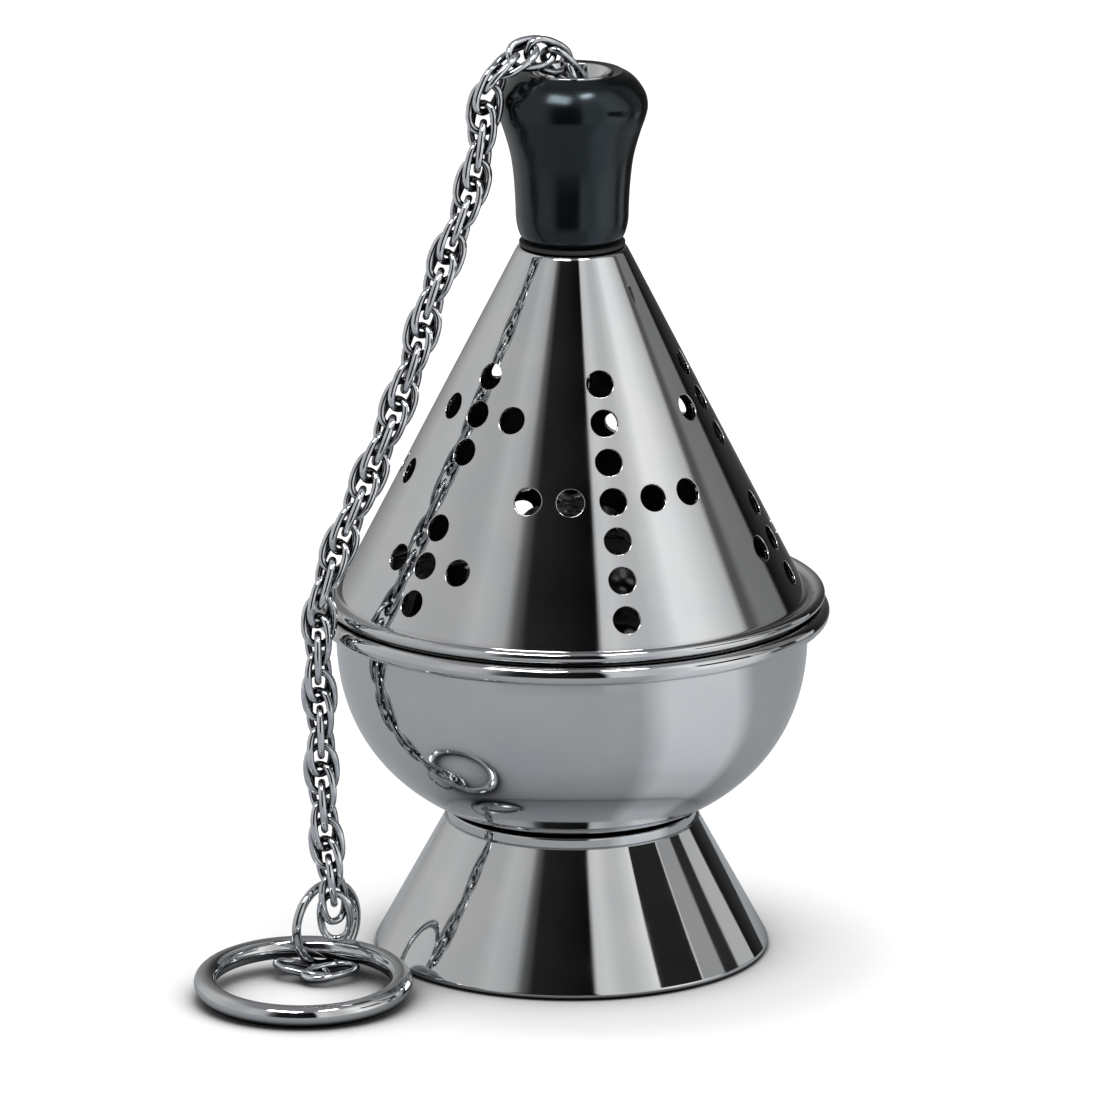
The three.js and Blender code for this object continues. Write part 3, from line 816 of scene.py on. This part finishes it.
def pierced_sheet(builder, sheet):
    """Both faces of the cone with the holes left open, and the holes' walls."""
    holes = sheet.holes()
    points, edges = flat_pattern(sheet, holes)
    made, _, faces, origins, _, _ = delaunay_2d_cdt([Vector(p) for p in points], edges, [], 0, 1e-5)
    places = [points[known[0]] if known else tuple(place) for place, known in zip(made, origins)]
    for face in faces:
        corners = [places[i] for i in face]
        x, y = np.mean(corners, axis=0)
        past_seam = abs(math.atan2(y, x)) > math.pi * sheet.sine
        past_end = not sheet.top_u < math.hypot(x, y) < sheet.foot_u
        if past_seam or past_end or nearest_hole(holes, x, y) < HOLE_RADIUS + HOLE_LIP:
            continue
        outer = [sheet.solid(*p) for p in corners]
        inner = [sheet.solid(*p, SHEET) for p in corners][::-1]
        builder.face([p[0] for p in outer], [p[1] for p in outer])
        builder.face([p[0] for p in inner], [-p[1] for p in inner], 1)
    for x, y in holes:
        hole_wall(builder, sheet, x, y)


def hole_wall(builder, sheet, x, y):
    """The wall of one hole, its edges rounded on both faces of the sheet."""
    steps = [(a, 0.0, 1) for a in (0, 30, 60, 90)] + [(a, SHEET, -1) for a in (90, 60, 30, 0)]
    rings = []
    for degrees, face_depth, facing in steps:
        tilt = math.radians(degrees)
        radius = HOLE_RADIUS + HOLE_LIP * (1 - math.sin(tilt))
        depth = face_depth + facing * HOLE_LIP * (1 - math.cos(tilt))
        ring = []
        for dx, dy in circle(HOLE_SIDES):
            place, normal, down, around = sheet.solid(x + radius * dx, y + radius * dy, depth)
            at = math.atan2(y + radius * dy, x + radius * dx)
            out_down = dx * math.cos(at) + dy * math.sin(at)
            out_around = dy * math.cos(at) - dx * math.sin(at)
            outward = out_down * down + out_around * around
            ring.append((place, facing * math.cos(tilt) * normal - math.sin(tilt) * outward))
        rings.append(ring)
    for ring, deeper in zip(rings, rings[1:]):
        for k in range(HOLE_SIDES):
            n = (k + 1) % HOLE_SIDES
            four = (ring[k], ring[n], deeper[n], deeper[k])
            builder.face([place for place, _ in four], [normal for _, normal in four])


def lid_outline(sheet):
    """The lid's outline, and which two long sides of it the pierced sheet takes the place of."""
    tangent, degrees = math.tan(sheet.slope), math.degrees(sheet.slope)
    gutter_z = sheet.foot_z - GUTTER_DEPTH
    bead = sheet.bead_radius - LID_BEAD
    inset_r, inset_z = SHEET * sheet.cosine, SHEET * sheet.sine
    inner_top = (LID_TOP_RADIUS - inset_r, sheet.shoulder_z - inset_z)
    inner_foot = (sheet.base_radius - inset_r, sheet.foot_z - inset_z)
    outer_foot = (sheet.base_radius, sheet.foot_z)
    fillet_z = gutter_z + GUTTER_FILLET
    fillet_r = sheet.base_radius - tangent * (fillet_z - sheet.foot_z) + GUTTER_FILLET / sheet.cosine
    corner = LID_TOP_ROUND * math.tan((math.pi / 2 - sheet.slope) / 2)
    top_r = LID_TOP_RADIUS - LID_TOP_ROUND * tangent - corner
    outline = [
        (TUBE_HOLE, sheet.top_z - SHEET), (inner_top[0] - SHEET, sheet.top_z - SHEET),
        inner_top, inner_foot, (inner_foot[0] + SEAT_GAP, sheet.low_z + LID_BEAD_STEP),
        *arc(bead, sheet.low_z + LID_BEAD, LID_BEAD, -90, 150, 18),
        (sheet.base_radius + LID_GUTTER * 0.8, gutter_z),
        *arc(fillet_r, fillet_z, GUTTER_FILLET, 270, 180 + degrees, 6),
        outer_foot, (LID_TOP_RADIUS, sheet.shoulder_z),
        *arc(top_r, sheet.top_z - LID_TOP_ROUND, LID_TOP_ROUND, degrees, 90, 8), (TUBE_HOLE, sheet.top_z),
    ]
    return outline, (outline.index(inner_top), outline.index(outer_foot))


def lid_cone(outside, inside):
    sheet = ConeSheet()
    builder = Builder()
    pierced_sheet(builder, sheet)
    outline, long_sides = lid_outline(sheet)
    revolve_into(builder, outline, skip=long_sides)
    return builder.object("pierced_cone", outside, inside)


def knob_outline():
    """A turned handle: small foot, straight waist, open crown."""
    low, high = box_mm("knob")
    height = high.z - low.z
    crown = high.x - KNOB_WAIST_RADIUS
    points = [(KNOB_WAIST_RADIUS + swell * crown, low.z + h * height, 0.0) for swell, h in KNOB_PROFILE]
    side = [(p[0], p[1]) for p in smooth_curve(points, 7)]
    return [(TUBE_HOLE, low.z), *side, *tube_side(TUBE_HOLE, high.z - KNOB_MOUTH_DROP, 8)[::-1]]


def tube_side(radius, mouth_z, steps):
    """The tube's wall from its straight part up to its flared mouth."""
    shares = [i / steps for i in range(steps + 1)]
    return [(radius + TUBE_FLARE * t * t, mouth_z - TUBE_FLARE_LENGTH * (1 - t)) for t in shares]


def tube_outline():
    low, high = box_mm("knob_tube")
    mouth = high.z - TUBE_MOUTH_DROP
    outer = TUBE_INNER + TUBE_WALL
    lip = (2 * TUBE_INNER + TUBE_WALL) / 2 + TUBE_FLARE
    return [
        (TUBE_INNER, low.z), (outer, low.z), *tube_side(outer, mouth, 10),
        *arc(lip, mouth, TUBE_WALL / 2, 30, 150, 6), *tube_side(TUBE_INNER, mouth, 10)[::-1],
    ]


def washer_outline(node, hole):
    low, high = box_mm(node)
    edge = WASHER_ROUND
    return [
        (hole, low.z), *arc(high.x - edge, low.z + edge, edge, -90, 0, 4),
        *arc(high.x - edge, high.z - edge, edge, 0, 90, 4), (hole, high.z),
    ]


def skirt_outline():
    """The locating ring under the lid, with a rounded lower edge."""
    low, high = box_mm("lid_locating_ring")
    half = SHEET / 2
    return [
        (high.x - SHEET, low.z + SKIRT_BEVEL), *arc(high.x - half, low.z + half, half, 180, 360, 8),
        (high.x, high.z), (high.x - SHEET, high.z),
    ]


# ---- what the bowl holds ----
def cup_outline():
    low, high = box_mm("charcoal_cup")
    wall, corner = CUP_WALL, CUP_CORNER
    outer = arc(high.x - corner, low.z + corner, corner, -90, 0, 8)
    inner = arc(high.x - corner, low.z + corner, corner - wall, 0, -90, 8)
    lip = arc(high.x - wall / 2, high.z - wall / 2, wall / 2, 0, 180, 8)
    return [(CUP_FLOOR_HOLE, low.z), *outer, *lip, *inner, (CUP_FLOOR_HOLE, low.z + wall)]


def bolt_outline():
    """A round-headed bolt with a grooved thread and a shallow recess in its head."""
    low, high = box_mm("centre_bolt")
    head, head_z = high.x, high.z - BOLT_HEAD_HEIGHT
    side_bevel, up_bevel = BOLT_HEAD_BEVEL
    socket, socket_floor = SOCKET_RADII
    thread = []
    for k in range(THREAD_TURNS):
        thread.append((BOLT_RADIUS - THREAD_DEPTH, low.z + (k + 0.5) * THREAD_PITCH))
        thread.append((BOLT_RADIUS, low.z + (k + 1) * THREAD_PITCH))
    return [
        (0, low.z), (BOLT_RADIUS - BOLT_POINT, low.z), *thread,
        (BOLT_RADIUS, head_z), (head - side_bevel, head_z), (head, head_z + up_bevel),
        *arc(head - BOLT_DOME, high.z - BOLT_DOME, BOLT_DOME, 0, 90, 7),
        (socket, high.z), (socket_floor, high.z - SOCKET_DEPTH), (0, high.z - SOCKET_DEPTH),
    ]


def hex_nut(name, node, bore, material):
    """A six-sided nut with its corners turned off."""
    low, high = box_mm(node)
    corner = (high.x - low.x) / 2
    across = corner * math.cos(math.pi / 6)

    def row(z, limit):
        """The hexagon at one height, nowhere wider than limit."""
        points = []
        for k, (c, s) in enumerate(circle(NUT_SIDES)):
            fold = 2 * math.pi * k / NUT_SIDES % (math.pi / 3) - math.pi / 6
            radius = min(across / math.cos(fold), limit)
            points.append((radius * c, radius * s, z))
        return points

    builder = Builder()
    rows = [
        row(low.z, bore), row(low.z, across - NUT_FACE_INSET), row(low.z + NUT_CHAMFER, corner),
        row(high.z - NUT_CHAMFER, corner), row(high.z, across - NUT_FACE_INSET), row(high.z, bore),
    ]
    for lower, upper in zip(rows, rows[1:] + rows[:1]):
        for k in range(NUT_SIDES):
            n = (k + 1) % NUT_SIDES
            corners = [lower[k], lower[n], upper[n], upper[k]]
            a, b, c, d = (Vector(p) for p in corners)
            normal = (b - a).cross(c - a)
            if normal.length < 1e-9:
                normal = (c - a).cross(d - a)
            builder.face(corners, [tuple(normal.normalized())] * 4)
    return builder.object(name, material)


def rounded_loop(corners, radius, steps=6):
    """A closed line through the corners, each turned in a short curve."""
    made = []
    corners = [Vector(c) for c in corners]
    for i, corner in enumerate(corners):
        before = (corners[i - 1] - corner).normalized() * radius
        after = (corners[(i + 1) % len(corners)] - corner).normalized() * radius
        for k in range(steps + 1):
            t = k / steps
            inward = (corner + before) * (1 - t) ** 2 + corner * 2 * t * (1 - t)
            made.append(inward + (corner + after) * t * t)
    return made


def strap_line():
    """The middle line of the stirrup's strap, seen from the front."""
    low, high = box_mm("stirrup")
    middle = STIRRUP_STRAP / 2
    half = high.x - middle
    crown = STIRRUP_CROWN / 2 - STRAP_BEND_SHARE * middle
    shoulder = low.z + STIRRUP_SHOULDER - STRAP_BEND_SHARE * middle
    left = [(-half, low.z + STIRRUP_BEVEL + middle), (-half, shoulder), (-crown, high.z - middle)]
    right = [(-x, z) for x, z in left[::-1]]
    base = [(half - STIRRUP_BEVEL, low.z + middle), (STIRRUP_BEVEL - half, low.z + middle)]
    return rounded_loop(left + right + base, STRAP_TURN)


def stirrup(material):
    """A bent strap that carries the chain's eye over the charcoal, its edges eased."""
    low, high = box_mm("stirrup")
    line = strap_line()
    half_width, half_strap = (high.y - low.y) / 2, STIRRUP_STRAP / 2
    section = [(half_strap, half_width - STRAP_EASE), (half_strap - STRAP_EASE, half_width)]
    section += [(-x, y) for x, y in section[::-1]]
    section += [(-x, -y) for x, y in section]
    points = []
    for i, here in enumerate(line):
        along = (line[(i + 1) % len(line)] - line[i - 1]).normalized()
        points += [(here.x + along.y * x, y, here.y - along.x * x) for x, y in section]
    mesh = smooth_mesh("stirrup_strap", points, loop_faces(len(line), len(section)))
    mesh.set_sharp_from_angle(angle=math.radians(35))
    return link_mesh("stirrup_strap", mesh, material)


def eye_outline():
    """The eye's threaded shank and its collar."""
    low = box_mm("chain_eye")[0]
    strap_top = box_mm("stirrup")[1].z + SEAT_GAP
    top = strap_top + COLLAR_HEIGHT
    shank, collar = EYE_SHANK_RADIUS, EYE_SHANK_RADIUS + EYE_COLLAR
    return [
        (0, low.z), (shank - SHANK_BEVEL, low.z), (shank, low.z + SHANK_BEVEL), (shank, strap_top),
        (collar, strap_top), (collar, strap_top + COLLAR_EDGE), (shank + SHANK_BEVEL, top), (0, top),
    ]


def eye_loop(material):
    """The wire eye that stands on its threaded shank."""
    low, high = box_mm("chain_eye")
    radius = (high.x - low.x) / 2 - EYE_WIRE
    line = ring_line((0, 0, high.z - EYE_WIRE - radius), (1, 0, 0), (0, 0, 1), radius, 56)
    return tube("eye_loop", line, EYE_WIRE, material, 16)


# ---- putting the pieces on their bodies ----
def make_vessel(polished, plain):
    body = "bowl_and_foot"
    place_piece(revolve("foot_skirt", foot_outline(), polished), body, "polished_steel", "foot")
    place_piece(revolve("bowl_shell", bowl_outline(), polished), body, "polished_steel", "bowl")
    bolt = revolve("bolt", bolt_outline(), plain, SMALL_SEGMENTS)
    place_piece(bolt, body, "plain_steel", "centre_bolt")
    washer = revolve("washer_under_foot", washer_outline("foot_washer", BOLT_HOLE), plain, SMALL_SEGMENTS)
    place_piece(washer, body, "plain_steel", "foot_washer")
    place_piece(hex_nut("nut_under_foot", "foot_nut", BOLT_HOLE, plain), body, "plain_steel", "foot_nut")
    cup = revolve("burner_cup", cup_outline(), plain)
    place_piece(cup, "charcoal_cup", "plain_steel", "charcoal_cup")
    place_piece(stirrup(plain), body, "plain_steel", "stirrup")
    place_piece(eye_loop(plain), body, "plain_steel")
    place_piece(revolve("eye_shank", eye_outline(), plain, 40), body, "plain_steel", "chain_eye")
    nut = hex_nut("nut_on_eye", "eye_nut", EYE_SHANK_RADIUS + SEAT_GAP, plain)
    place_piece(nut, body, "plain_steel", "eye_nut")


def make_lid(polished, plain, gloss, matt):
    for piece, slot, node in [
        (lid_cone(polished, painted_shade_steel()), "polished_steel", "lid_cone"),
        (revolve("locating_skirt", skirt_outline(), plain), "plain_steel", "lid_locating_ring"),
        (revolve("handle", knob_outline(), gloss), "black_gloss", "knob"),
        (revolve("washer_under_handle", washer_outline("knob_washer", TUBE_HOLE), matt),
         "black_matt", "knob_washer"),
        (revolve("chain_tube", tube_outline(), polished, 96), "polished_steel", "knob_tube"),
        (revolve("washer_in_lid", washer_outline("inner_washer", TUBE_HOLE), plain, 72),
         "plain_steel", "inner_washer"),
        (hex_nut("nut_in_lid", "lock_nut", TUBE_HOLE, plain), "plain_steel", "lock_nut"),
    ]:
        place_piece(piece, "lid", slot, node)


# ---- floor, surroundings and lights ----
def maths(tree, operation, *values):
    node = add_node(tree, "Math", dict(enumerate(values)))
    node.operation = operation
    return node.outputs["Value"]


def compass(tree, parts):
    """Direction round the Z axis, from the front towards +X, as 0 to 1 for -180 to 180 degrees."""
    turn = maths(tree, "ARCTAN2", parts["X"], maths(tree, "MULTIPLY", parts["Y"], -1.0))
    return maths(tree, "MULTIPLY_ADD", turn, 1 / (2 * math.pi), 0.5)


def tones_around(tree, around, stops, peak):
    """Grey that changes with direction, from stops of degrees and brightness."""
    ramp = add_node(tree, "ValToRGB", {"Fac": around})
    elements = ramp.color_ramp.elements
    elements.remove(elements[1])
    for degrees, brightness in stops:
        position = degrees / 360 + 0.5
        element = elements[0] if degrees == -180 else elements.new(position)
        element.position = position
        element.color = (*[brightness / peak] * 3, 1.0)
    return ramp.outputs["Color"]


def room_brightness(tree):
    """Grey by compass direction, falling to dim overhead."""
    place = add_node(tree, "TexCoord", {}).outputs["Generated"]
    parts = add_node(tree, "SeparateXYZ", {"Vector": place}).outputs
    tone = tones_around(tree, compass(tree, parts), STUDIO, STUDIO_PEAK)
    overhead = ranged(tree, parts["Z"], 0.0, 1.0, CEILING_FROM, CEILING_TO)
    return add_node(tree, "MixRGB", {"Fac": overhead, "Color1": tone, "Color2": CEILING}).outputs["Color"]


def studio_world():
    """Even white light for the scene, and a room of pale screens and dark gaps for the steel."""
    world = bpy.data.worlds.new("studio")
    world.use_nodes = True
    bpy.context.scene.world = world
    tree = world.node_tree
    tree.nodes.clear()
    path = add_node(tree, "LightPath", {}).outputs
    white = add_node(tree, "Background", {"Color": (1.0, 1.0, 1.0, 1.0), "Strength": WHITE_STRENGTH})
    room = add_node(tree, "Background", {"Color": room_brightness(tree), "Strength": STUDIO_PEAK})
    inputs = {"Fac": path["Is Glossy Ray"], 1: white.outputs["Background"], 2: room.outputs["Background"]}
    mix = add_node(tree, "MixShader", inputs)
    add_node(tree, "OutputWorld", {"Surface": mix.outputs["Shader"]})


def bare_material(name):
    """A material with no nodes yet."""
    material = bpy.data.materials.new(name)
    material.use_nodes = True
    material.node_tree.nodes.clear()
    return material, material.node_tree


def floor_material():
    """White paper: bright to the eye, with painted contact shadow near the vessel; in the steel a painted
    reflection, greyer with lighter bands, and fading out there at its edge.
    """
    material, tree = bare_material("floor_paper")
    in_steel = add_node(tree, "LightPath", {}).outputs["Is Glossy Ray"]
    place = add_node(tree, "TexCoord", {}).outputs["Object"]
    parts = add_node(tree, "SeparateXYZ", {"Vector": place}).outputs
    # painted reflection: the floor greyer in the steel, by direction, than it is to the eye
    painted_reflection = multiplied(tree, tones_around(tree, compass(tree, parts), PAINTED_FLOOR_REFLECTION, 1.0), PAINTED_FLOOR_REFLECTION_TINT)
    colour = add_node(tree, "MixRGB", {"Fac": in_steel, "Color1": FLOOR_WHITE, "Color2": painted_reflection})
    # painted contact shadow: the paper darkened where the vessel and ring lie close
    colour = shaded(tree, colour.outputs["Color"], reach=0.016, dark=0.08, start=0.35, end=0.95)
    distance = add_node(tree, "VectorMath", {0: place})
    distance.operation = "LENGTH"
    edge = ranged(tree, distance.outputs["Value"], 0.0, 1.0, FLOOR_FADE_FROM, FLOOR_FADE_TO)
    paper = add_node(tree, "BsdfDiffuse", {"Color": colour}).outputs["BSDF"]
    clear = add_node(tree, "BsdfTransparent", {}).outputs["BSDF"]
    mix = add_node(tree, "MixShader", {"Fac": maths(tree, "MULTIPLY", edge, in_steel), 1: paper, 2: clear})
    add_node(tree, "OutputMaterial", {"Surface": mix.outputs["Shader"]})
    return material


def add_floor():
    x = FLOOR_HALF
    mesh = bpy.data.meshes.new("floor")
    mesh.from_pydata([(-x, -x, 0), (x, -x, 0), (x, x, 0), (-x, x, 0)], [], [(0, 1, 2, 3)])
    link_mesh("floor", mesh, floor_material())


def card_top(degrees):
    """Just under the rays that leave the lid's lowest edge."""
    return 0.254 - (degrees - 57) * 0.00208


def add_card(first, last, brightness):
    """An upright curved panel beside the vessel, outside the picture."""
    material, tree = bare_material(f"card_{first}")
    glow = add_node(tree, "Emission", {"Color": (brightness, brightness, brightness, 1.0)})
    add_node(tree, "OutputMaterial", {"Surface": glow.outputs["Emission"]})
    points = []
    for k in range(CARD_STEPS + 1):
        degrees = first + (last - first) * k / CARD_STEPS
        turn = math.radians(degrees)
        x, y = CARD_DISTANCE * math.sin(turn), -CARD_DISTANCE * math.cos(turn)
        points += [(x, y, card_top(degrees) - CARD_HEIGHT), (x, y, card_top(degrees))]
    faces = [(2 * k, 2 * k + 2, 2 * k + 3, 2 * k + 1) for k in range(CARD_STEPS)]
    mesh = bpy.data.meshes.new(f"card_{first}")
    mesh.from_pydata(points, [], faces)
    card = link_mesh(f"card_{first}", mesh, material)
    card.visible_camera = False
    card.visible_diffuse = False
    card.visible_shadow = False


def add_softbox(name, place, size, power, for_floor):
    """A soft light that shows in the surfaces, or one that only lights the floor."""
    light = bpy.data.lights.new(name, "AREA")
    light.shape = "RECTANGLE"
    light.size, light.size_y = size
    light.energy = power
    lamp = bpy.data.objects.new(name, light)
    bpy.context.scene.collection.objects.link(lamp)
    lamp.location = place
    lamp.rotation_euler = (SOFTBOX_AIM - Vector(place)).to_track_quat("-Z", "Y").to_euler()
    lamp.visible_camera = False
    lamp.visible_diffuse = for_floor
    lamp.visible_glossy = not for_floor


def add_stage():
    bpy.context.scene.view_settings.view_transform = "Standard"
    studio_world()
    add_floor()
    for card in LOW_CARDS:
        add_card(*card)
    for softbox in SOFTBOXES:
        add_softbox(*softbox)


def main():
    add_camera()
    wire, polished, plain = chain_steel(), polished_steel(), plain_steel()
    outer_chain(wire, polished)
    inner_chain(wire)
    connecting_link(wire)
    make_vessel(polished, plain)
    make_lid(polished, plain, gloss_black(), matt_black())
    add_stage()


main()
